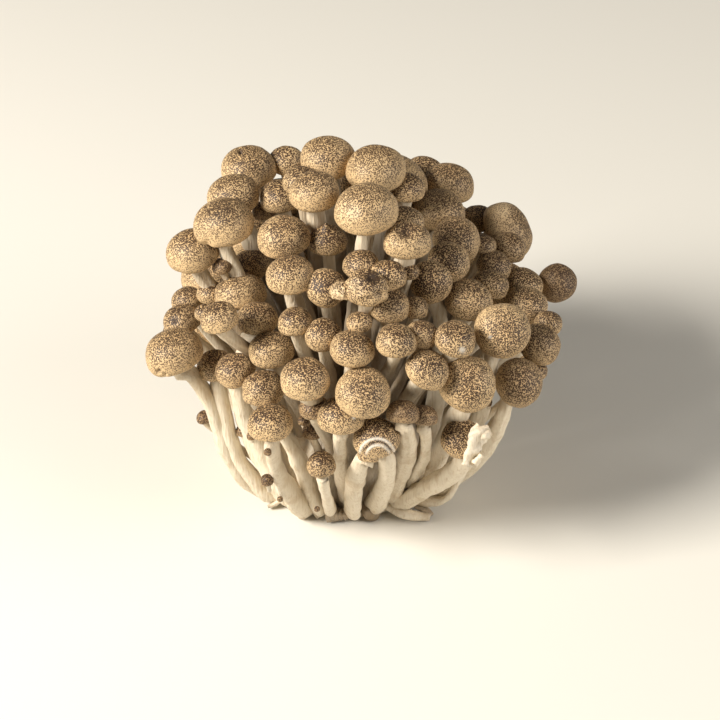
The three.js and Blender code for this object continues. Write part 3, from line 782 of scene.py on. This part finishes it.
def add_cap(skin, cap, seed):
    draw = make_draw(seed)
    marks = MARKS.get(cap.name, [])
    sides = CAP_SIDES * (2 if marks else 1)
    rings = CAP_RINGS * (2 if marks else 1)
    steps = np.linspace(0, len(CAP_SECTION) - 1, rings)
    angles = full_turn(sides)
    points = cap_form(cap, steps, angles, draw)
    out = points - cap.middle
    out = out / np.maximum(1e-6, np.linalg.norm(out, axis=1))[:, None]
    broad = lumps(points, seed + SEED_STEPS["broad"], BROAD_LUMPS[1] * cap.radius)
    points = points + out * (BROAD_LUMPS[0] * cap.radius * broad)[:, None]
    fine = lumps(points, seed + SEED_STEPS["fine"], FINE_LUMPS[1] * cap.radius)
    points = points + out * (CRUMPLED.get(cap.name, FINE_LUMPS[0]) * cap.radius * fine)[:, None]
    points, colours = add_marks(points, out, marks)
    if "cut" in cap.extras:
        uneven = TORN_LUMPS[0] * lumps(points, seed + SEED_STEPS["tear"], TORN_LUMPS[1])
        beyond = (points - cap.middle) @ TORN_SIDE - (cap.extras["cut"] * cap.radius + uneven)
        colours["torn"] = np.where(beyond > 0, 1.0, colours["torn"])
        points = points - np.maximum(0, beyond)[:, None] * TORN_SIDE
    values = {
        "down": np.concatenate([[0], np.repeat(steps / MARGIN_STEP, sides), [rings / MARGIN_STEP]]),
        "turn": other_way_round(np.concatenate([[0], np.tile(angles, rings), [0]]), rings, sides),
        "tone": DARKER_SKIN_AND_SHADE.get(cap.name, DARKER_SKIN_AND_SHADE.get(cap.node, 0.0)) + TONE_SPREAD * draw(),
        "faint": smoothstep(cap.radius, *FAINT_FROM),
        **{key: other_way_round(colour, rings, sides) for key, colour in colours.items()},
    }
    skin.add(other_way_round(points, rings, sides), rings, sides, **values)


# How stems and strips of flesh vary
FLATNESS = (0.5, 1.3)
TWIST = 1.2
CREASES = 3
CREASE_DEPTH = (0.06, 0.16)
CREASE_WIDTH = 0.05
SWELL = 0.09
SWELLS = (0.8, 1.6)
FINER = 0.4
LOWEST = 0.05

# Painted shade on stems inside the bunch, which widens upwards, and below the caps
BUNCH_WIDENS = 0.5
SHADED_INSIDE_BUNCH = (0.6, 0.95)
SHADED_BELOW_CAPS = (0.72, 0.97)


def tube_shape(along, flat, draw):
    """How far out a tube's points are, as shares of its radius."""
    angles = full_turn(STEM_SIDES) + 2 * math.pi * draw() + TWIST * (draw() - 0.5) * along
    shape = 1 + flat * mix(*FLATNESS, draw()) * np.cos(2 * angles)
    for _ in range(CREASES):
        crease = np.cos(angles + 2 * math.pi * draw())
        shape = shape - mix(*CREASE_DEPTH, draw()) * np.exp((crease - 1) / CREASE_WIDTH)
    return shape + SWELL * np.sin(2 * math.pi * (mix(*SWELLS, draw()) * along + draw()))


def rings_along(route, radii, end_axis):
    side = (0.6, 0.8, 0)
    rings = []
    for i, middle in enumerate(route):
        axis = unit(route[min(len(route) - 1, i + 1)] - route[max(0, i - 1)])
        if i == len(route) - 1 and end_axis is not None:
            axis = end_axis
        side = side_of(axis, side)
        rings.append(ring_round(middle, axis, side, radii[i], STEM_SIDES))
    return np.array(rings)


def add_tube(skin, route, radii, seed, tone, end_axis=None, flat=0.12, rough=0.08, grain=9.0, inner_shade=0.0,
             end_tone=0.0):
    """A stem or strip of flesh: a flattened, creased and uneven tube along a route."""
    grid = rings_along(route, radii, end_axis)
    finer = lumps(grid.reshape(-1, 3), seed + SEED_STEPS["finer"], FINER * grain)
    uneven = rough * lumps(grid.reshape(-1, 3), seed, grain) + FINER * rough * finer
    along = np.linspace(0, 1, len(route))[:, None]
    shape = tube_shape(along, flat, make_draw(seed)) + uneven.reshape(len(route), STEM_SIDES)
    middles = route[:, None, :]
    grid = middles + (grid - middles) * shape[..., None]
    points = np.vstack([route[0], grid.reshape(-1, 3), route[-1]])
    points[:, 2] = np.maximum(points[:, 2], LOWEST)
    along = np.concatenate([[0], np.repeat(along, STEM_SIDES), [1]])
    outwards = np.hypot(points[:, 0] - FOOT_MIDDLE[0], points[:, 1] - FOOT_MIDDLE[1])
    outwards = outwards / (FOOT_RADIUS + BUNCH_WIDENS * points[:, 2])
    # Painted shade: darker near the middle of the bunch and below the caps
    inside = (1 - smoothstep(outwards, *SHADED_INSIDE_BUNCH)) * (1 - smoothstep(along, *SHADED_BELOW_CAPS))
    tones = tone + inner_shade * inside + end_tone * smoothstep(along, 0.8, 1.0)
    skin.add(points, len(route), STEM_SIDES, along=along, tone=tones)


# Node materials
class Surface:
    """A node material, with short calls for the few kinds of node used here."""

    def __init__(self, name):
        self.material = bpy.data.materials.new(name)
        self.material.use_nodes = True
        self.tree = self.material.node_tree
        self.shader = self.tree.nodes["Principled BSDF"]
        self.place = self.scaled_place(1 / MM)

    def node(self, kind, inputs=(), **settings):
        made = self.tree.nodes.new(kind)
        for key, value in settings.items():
            setattr(made, key, value)
        for key, value in dict(inputs).items():
            self.feed(made.inputs[key], value)
        return made

    def feed(self, socket, value):
        if isinstance(value, bpy.types.NodeSocket):
            self.tree.links.new(value, socket)
        elif isinstance(value, tuple) and len(value) == 3 and socket.type == "RGBA":
            socket.default_value = (*value, 1)
        else:
            socket.default_value = value

    def scaled_place(self, scale, stretch=(1, 1, 1)):
        where = self.node("ShaderNodeTexCoord")
        scales = tuple(scale * part for part in stretch)
        made = self.node("ShaderNodeMapping", {"Vector": where.outputs["Object"], "Scale": scales})
        return made.outputs["Vector"]

    def value(self, name):
        return self.node("ShaderNodeAttribute", attribute_name=name).outputs["Fac"]

    def noise(self, scale, detail=2.0, vector=None):
        made = self.node("ShaderNodeTexNoise", {
            "Vector": vector or self.place, "Scale": scale, "Detail": detail, "Roughness": 0.5,
        })
        return made.outputs["Fac"]

    def spots(self, scale):
        made = self.node("ShaderNodeTexVoronoi", {"Vector": self.place, "Scale": scale})
        return made.outputs["Distance"]

    def math(self, operation, first, second=0.0, clamp=False):
        made = self.node("ShaderNodeMath", operation=operation, use_clamp=clamp)
        self.feed(made.inputs[0], first)
        self.feed(made.inputs[1], second)
        return made.outputs["Value"]

    def span(self, value, low, high, to_low=0.0, to_high=1.0):
        made = self.node("ShaderNodeMapRange", {
            "Value": value, "From Min": low, "From Max": high, "To Min": to_low, "To Max": to_high,
        }, interpolation_type="SMOOTHSTEP")
        return made.outputs["Result"]

    def blend(self, share, first, second):
        made = self.node("ShaderNodeMix", data_type="RGBA")
        self.feed(made.inputs[0], share)
        self.feed(made.inputs[6], first)
        self.feed(made.inputs[7], second)
        return made.outputs[2]

    def bump(self, height, strength, distance):
        made = self.node("ShaderNodeBump", {"Height": height, "Strength": strength, "Distance": distance})
        self.tree.links.new(made.outputs["Normal"], self.shader.inputs["Normal"])


SKIN_DARK = (0.030, 0.016, 0.007)
SKIN_BROWN = (0.070, 0.032, 0.011)
SKIN_DUSKY_AND_SHADE = (0.19, 0.112, 0.050)
SKIN_TAN = (0.62, 0.415, 0.200)
SKIN_LIGHT = (0.61, 0.425, 0.220)
MARGIN_PALE = (0.68, 0.52, 0.32)
FLESH = (0.76, 0.665, 0.51)
FLESH_TAN = (0.50, 0.36, 0.20)
FLESH_TORN = (0.90, 0.84, 0.73)
FLESH_DARKER_AND_SHADE = (0.22, 0.15, 0.085)
GILL_SHADE = (0.36, 0.28, 0.18)

# Shares of the way down a cap between which its skin turns pale, and then to gills
MARGIN = (0.86, 1.0)
UNDER = (1.02, 1.12)

# How many a mm: specks, what shakes their edges, what gathers them, and broad changes of tone
SPECKS = 2.5
SHAKES = 3.8
GATHERINGS = 1.0
BROAD_TONES = 0.11

# On the flesh: fibres across and along a stem, and patches
FIBRES = (1.7, 1.7, 0.16)
PATCHES = 0.16

# Lines of colour on the gills, as waves for a radian
GILL_LINES = 70.0


def cap_surface():
    surface = Surface("cap_skin")
    down = surface.value("down")
    tone = surface.value("tone")
    # The ground between the specks: tan, and pale at the margin
    broad = surface.noise(BROAD_TONES)
    uneven_down = surface.math("ADD", down, surface.span(broad, 0.2, 0.8, -0.22, 0.22))
    ground = surface.blend(surface.span(uneven_down, 0.0, 0.5), SKIN_TAN, SKIN_LIGHT)
    ground = surface.blend(surface.span(down, *MARGIN), ground, MARGIN_PALE)
    # Darker caps: darker skin, and painted shade on caps in the shade of others
    ground = surface.blend(surface.math("MULTIPLY", tone, 0.75), ground, SKIN_DUSKY_AND_SHADE)
    ground = surface.blend(surface.value("cream"), ground, MARGIN_PALE)
    # Specks: dark dots of uneven size that run together on top and thin out near the margin
    shake = surface.math("SUBTRACT", surface.noise(SHAKES), 0.5)
    cluster = surface.math("SUBTRACT", surface.noise(GATHERINGS), 0.5)
    distance = surface.math("ADD", surface.spots(SPECKS), surface.math("MULTIPLY", shake, 0.7))
    reach = surface.span(uneven_down, 0.0, 1.0, 0.67, 0.42)
    reach = surface.math("SUBTRACT", reach, surface.math("MULTIPLY", surface.value("faint"), 0.03))
    reach = surface.math("ADD", reach, surface.math("MULTIPLY", cluster, 0.32))
    # Dark marks thicken the specks here and darken the skin further on: painted shade in dents, darker skin
    # elsewhere
    reach = surface.math("ADD", reach, surface.math("MULTIPLY", surface.value("dark"), 0.3))
    reach = surface.math("SUBTRACT", reach, surface.math("MULTIPLY", surface.value("cream"), 0.2))
    specks = surface.span(surface.math("SUBTRACT", distance, reach), -0.06, 0.03, 1.0, 0.0)
    strength = surface.span(uneven_down, 0.15, 0.95, 1.0, 0.82)
    strength = surface.math("SUBTRACT", strength, surface.math("MULTIPLY", surface.value("faint"), 0.12))
    skin = surface.blend(surface.math("MULTIPLY", specks, strength, clamp=True), ground, SKIN_BROWN)
    cores = surface.span(surface.math("SUBTRACT", distance, reach), -0.36, -0.16, 1.0, 0.0)
    cores = surface.math("MULTIPLY", cores, surface.span(uneven_down, 0.1, 1.0, 1.0, 0.45))
    skin = surface.blend(cores, skin, SKIN_DARK)
    skin = surface.blend(surface.math("MULTIPLY", surface.value("dark"), 0.6), skin, SKIN_DARK)
    skin = surface.blend(surface.value("torn"), skin, FLESH_TORN)
    under = surface.span(down, *UNDER)
    gills = surface.math("SINE", surface.math("MULTIPLY", surface.value("turn"), GILL_LINES))
    gill_colour = surface.blend(surface.span(gills, -1, 1), GILL_SHADE, FLESH)
    colour = surface.blend(under, skin, gill_colour)
    surface.feed(surface.shader.inputs["Base Color"], colour)
    surface.shader.inputs["Roughness"].default_value = 0.6
    surface.bump(surface.math("MULTIPLY", specks, -1.0), 0.6, 0.0002)
    return surface.material


def stem_surface():
    surface = Surface("stem_flesh")
    along = surface.value("along")
    tone = surface.value("tone")
    fibres = surface.noise(1.0, 3.0, surface.scaled_place(1 / MM, FIBRES))
    patches = surface.noise(PATCHES, 3.0)
    colour = surface.blend(surface.span(fibres, 0.45, 0.75, 0.0, 0.5), FLESH, FLESH_TAN)
    colour = surface.blend(surface.span(patches, 0.5, 0.72, 0.0, 0.5), colour, FLESH_TAN)
    # Painted shade under the caps: stems turn tan towards their caps
    colour = surface.blend(surface.span(along, 0.75, 1.0, 0.0, 0.30), colour, FLESH_TAN)
    # Darker flesh: tone that differs at random, and painted shade inside the bunch and in the foot's grooves
    colour = surface.blend(surface.span(tone, 0.0, 1.0, 0.0, 0.75), colour, FLESH_DARKER_AND_SHADE)
    surface.feed(surface.shader.inputs["Base Color"], colour)
    surface.shader.inputs["Roughness"].default_value = 0.5
    surface.bump(fibres, 0.7, 0.0006)
    return surface.material


# Placing
place_front_caps(CAP_ROWS)
place_front_caps(PIN_ROWS)
place_back_caps()

draw_bends = make_draw(SEEDS["bends"])
stems = [stem_route(cap, draw_bends) for cap in caps if not cap.extras.get("bare")]
for stem in stems:
    if not stem["shown"]:
        bend_clear(stem)


# Tiny pins lean on the front stems, some pixels beside and some mm ahead of them, on thin stems of their own
TINY_BESIDE = 14
TINY_AHEAD = 2.5
TINY_ROOT = (0.5, 2.5, -3.2)
TINY_LOWEST = 0.8
TINY_STEM = 0.42
TINY_TONE = 0.25


def add_tiny_pins(cap_skin, stem_skin):
    shown = np.vstack([curve_through(stem["route"], STEM_RINGS) for stem in stems if stem["shown"]])
    for order, (pixel, width) in enumerate(TINY_PINS):
        beside = np.linalg.norm(seen_at(shown) - pixel, axis=1) < TINY_BESIDE
        depth = ((shown[beside] - EYE) @ FORWARD).min() - TINY_AHEAD
        wide = width * depth / FOCAL
        pin = Cap("pin_left", order + 1, sight_point(pixel, depth), wide, CROWN_LEAN, {"tall": 0.9})
        add_cap(cap_skin, pin, SEEDS["tiny pins"] + order)
        root = pin.middle + np.array([TINY_ROOT[0], TINY_ROOT[1], TINY_ROOT[2] * pin.radius])
        root[2] = max(root[2], TINY_LOWEST)
        route = curve_through([root, mix(root, pin.middle, 0.5), pin.middle], STEM_RINGS)
        radii = TINY_STEM * pin.radius * np.ones(STEM_RINGS)
        add_tube(stem_skin, route, radii, SEEDS["tiny stems"] + order, TINY_TONE)


# Stems narrow from the foot to the cap, differ in tone and get painted shade inside the bunch
STEM_NARROWS = (1.12, 0.9)
STEM_TONES = 0.15
STEM_TONE_STEP = 0.37
STEM_INNER_SHADE = 0.85


def add_stems(front, inner):
    for order, stem in enumerate(stems):
        route = curve_through(stem["route"], STEM_RINGS)
        radii = stem["radius"] * mix(*STEM_NARROWS, np.linspace(0, 1, STEM_RINGS))
        tone = STEM_TONES * ((order * STEM_TONE_STEP) % 1)
        # Hidden inner stems get painted shade, front stems get none
        inner_shade = 0.0 if stem["shown"] else STEM_INNER_SHADE
        skin = front if stem["shown"] else inner
        add_tube(skin, route, radii, SEEDS["stems"] + order, tone, stem["cap"].axis, inner_shade=inner_shade)


# Strips of flesh: room under them, how flat and rough they are, and their tones
STRIP_REST = 0.6
STRIP_FLAT = 0.3
STRIP_ROUGH = 0.14
FLESH_TONE = 0.05
FLESH_END_TONE = 0.35
SCRAP_END_TONE = 0.3


def add_strip(skin, wide, pixels, heights, seed, tone, end_tone):
    """Flesh with no cap, from the foot outwards, kept above the level it rests on."""
    depths = [depth_at_height(pixels[end], heights[end]) for end in (0, -1)]
    route = route_in_view(pixels, *depths)
    for radius, point in zip(np.linspace(*wide, len(route)) / 2, route):
        point[2] = max(point[2], radius + STRIP_REST)
    route = curve_through([into_foot(route[0], STRIP_ROOT), *route], STEM_RINGS)
    radii = np.linspace(*wide, STEM_RINGS) / 2
    add_tube(skin, route, radii, seed, tone, flat=STRIP_FLAT, rough=STRIP_ROUGH, end_tone=end_tone)


# The fan of torn gills: heights along a gill, how far its middle bends in pixels, and how the ends fan out
GILL_HEIGHTS = (5.6, 5.0, 1.2)
GILL_BEND = 2
GILL_FAN = 1.1


def add_gill_scrap(skin):
    for fin in range(GILL_SCRAP["count"]):
        across, down = (fin * step for step in GILL_SCRAP["step"])
        start = (GILL_SCRAP["from"][0] + across, GILL_SCRAP["from"][1] + down)
        end = (GILL_SCRAP["to"][0] + GILL_FAN * across, GILL_SCRAP["to"][1] - down)
        middle = (mix(start[0], end[0], 0.5) - GILL_BEND, mix(start[1], end[1], 0.5))
        places = zip((start, middle, end), GILL_HEIGHTS)
        knots = [sight_point(pixel, depth_at_height(pixel, height)) for pixel, height in places]
        radii = GILL_SCRAP["thick"] / 2 * np.ones(STEM_RINGS)
        seed = SEEDS["gills"] + fin
        add_tube(skin, curve_through(knots, STEM_RINGS), radii, seed, GILL_SCRAP["dim"], flat=0.4)


# Torn flesh stands ahead of the torn cap's middle by a share of its radius
TORN_AHEAD = 0.55


def add_torn_flesh(skin):
    cap = next(cap for cap in caps if cap.name == "cap_torn 0")
    for order, sheet in enumerate(TORN_SHEETS):
        knots = [sight_point(place[:2], cap.depth - TORN_AHEAD * cap.radius) for place in sheet]
        shares = np.linspace(0, 1, STEM_RINGS)
        radii = np.interp(shares, np.linspace(0, 1, len(sheet)), [place[2] / 2 for place in sheet])
        route = curve_through(knots, STEM_RINGS)
        add_tube(skin, route, radii, SEEDS["torn"] + order, 0.1, flat=0.4, rough=0.2, grain=4.0)


# The foot's section from below: share of its radius, share of its height
FOOT_PROFILE = [
    (0.4, 0), (0.75, 0), (0.96, 0), (1.01, 0.02), (1.04, 0.06), (1.05, 0.12), (1.045, 0.2), (1.03, 0.3),
    (1.015, 0.4), (1.0, 0.5), (0.96, 0.6), (0.91, 0.7), (0.86, 0.78), (0.8, 0.84), (0.6, 0.93), (0.35, 0.98),
]
FOOT_RIBS = 19
FOOT_RIB_DEPTH = 0.07
FOOT_RIB_SHIFT = 0.8
FOOT_RIBS_FULL = 0.1
FOOT_LUMPS = (0.02, 7.0)
FOOT_LUMPS_FULL = 0.05
FOOT_TONE_AND_GROOVE_SHADE = (0.12, 0.6)


def add_foot(skin):
    """The foot, with low ribs where stems start from it and a flat cut beneath."""
    turns = full_turn(FOOT_SIDES)
    ribs = np.abs(np.sin(0.5 * FOOT_RIBS * turns + FOOT_RIB_SHIFT * np.sin(3 * turns)))
    rings = []
    for share, level in FOOT_PROFILE:
        middle = np.array([*FOOT_MIDDLE, level * FOOT_HEIGHT])
        ring = ring_round(middle, np.array([0, 0, 1]), np.array([1, 0, 0]), share * FOOT_RADIUS, FOOT_SIDES)
        uneven = FOOT_LUMPS[0] * lumps(ring, SEEDS["foot"], FOOT_LUMPS[1]) * min(1, level / FOOT_LUMPS_FULL)
        uneven = FOOT_RIB_DEPTH * (ribs - 1) * min(1, level / FOOT_RIBS_FULL) + uneven
        rings.append(middle + (ring - middle) * (1 + uneven)[:, None])
    points = np.vstack([(*FOOT_MIDDLE, 0), *rings, (*FOOT_MIDDLE, FOOT_HEIGHT)])
    # Painted shade in the grooves between the ribs
    groove_shade = np.concatenate([[0], np.tile(1 - ribs, len(FOOT_PROFILE)), [0]])
    tone = FOOT_TONE_AND_GROOVE_SHADE[0] + FOOT_TONE_AND_GROOVE_SHADE[1] * groove_shade
    skin.add(points, len(FOOT_PROFILE), FOOT_SIDES, along=0.0, tone=tone)


# The pieces
cap_skin = cap_surface()
stem_flesh = stem_surface()
front = Skin("stems_front")
inner = Skin("stems_inner")
foot = Skin("foot")

skins = {}
for order, cap in enumerate(caps):
    skins.setdefault(cap.node, Skin(f"{cap.node}_skin"))
    add_cap(skins[cap.node], cap, SEEDS["caps"] + order)
add_tiny_pins(skins["pin_left"], front)
for node, skin in skins.items():
    piece = skin.make(cap_skin)
    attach(piece, "root")
    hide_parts(node)

add_stems(front, inner)
for order, (wide, pixels, heights) in enumerate(FLESH_PIECES.values()):
    add_strip(front, wide, pixels, heights, SEEDS["flesh"] + order, FLESH_TONE, FLESH_END_TONE)
for order, (wide, pixels, heights, dim) in enumerate(SCRAPS):
    add_strip(front, wide, pixels, heights, SEEDS["scraps"] + order, dim, SCRAP_END_TONE)
add_gill_scrap(front)
add_torn_flesh(front)
add_foot(foot)
for skin in (front, inner, foot):
    piece = skin.make(stem_flesh)
    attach(piece, "root")
    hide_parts("stem_bunch")

# Floor, light and camera, in metres
FLOOR_REACH = 4
LIGHT_TARGET = (0, 0, 0.05)

floor_mesh = bpy.data.meshes.new("floor")
corners = [(-1, -1), (1, -1), (1, 1), (-1, 1)]
floor_mesh.from_pydata([(FLOOR_REACH * x, FLOOR_REACH * y, 0) for x, y in corners], [], [(0, 1, 2, 3)])
floor_finish = Surface("floor_finish")
floor_finish.shader.inputs["Base Color"].default_value = (0.72, 0.69, 0.62, 1)
floor_finish.shader.inputs["Roughness"].default_value = 0.9
floor_mesh.materials.append(floor_finish.material)
floor = bpy.data.objects.new("floor", floor_mesh)
bpy.context.scene.collection.objects.link(floor)


def area_light(name, place, size, power, colour):
    data = bpy.data.lights.new(name, "AREA")
    data.size = size
    data.energy = power
    data.color = colour
    lamp = bpy.data.objects.new(name, data)
    lamp.location = place
    lamp.rotation_euler = (lamp.location - Vector(LIGHT_TARGET)).to_track_quat("Z", "Y").to_euler()
    bpy.context.scene.collection.objects.link(lamp)


area_light("key", (-0.90, -0.40, 0.78), 0.45, 29.5, (1.0, 0.96, 0.90))
area_light("fill", (1.0, -0.3, 0.5), 0.8, 9.0, (1.0, 0.97, 0.93))

world = bpy.data.worlds.new("studio")
world.use_nodes = True
world.node_tree.nodes["Background"].inputs["Color"].default_value = (0.95, 0.93, 0.89, 1)
world.node_tree.nodes["Background"].inputs["Strength"].default_value = 0.10
bpy.context.scene.world = world
bpy.context.scene.view_settings.view_transform = "Standard"

camera_data = bpy.data.cameras.new("camera")
camera_data.sensor_width = SENSOR
camera_data.lens = SENSOR * FOCAL / IMAGE_WIDTH
camera = bpy.data.objects.new("camera", camera_data)
camera.location = EYE * MM
camera.rotation_euler = (math.pi / 2 - ELEVATION, 0, 0)
bpy.context.scene.collection.objects.link(camera)
bpy.context.scene.camera = camera
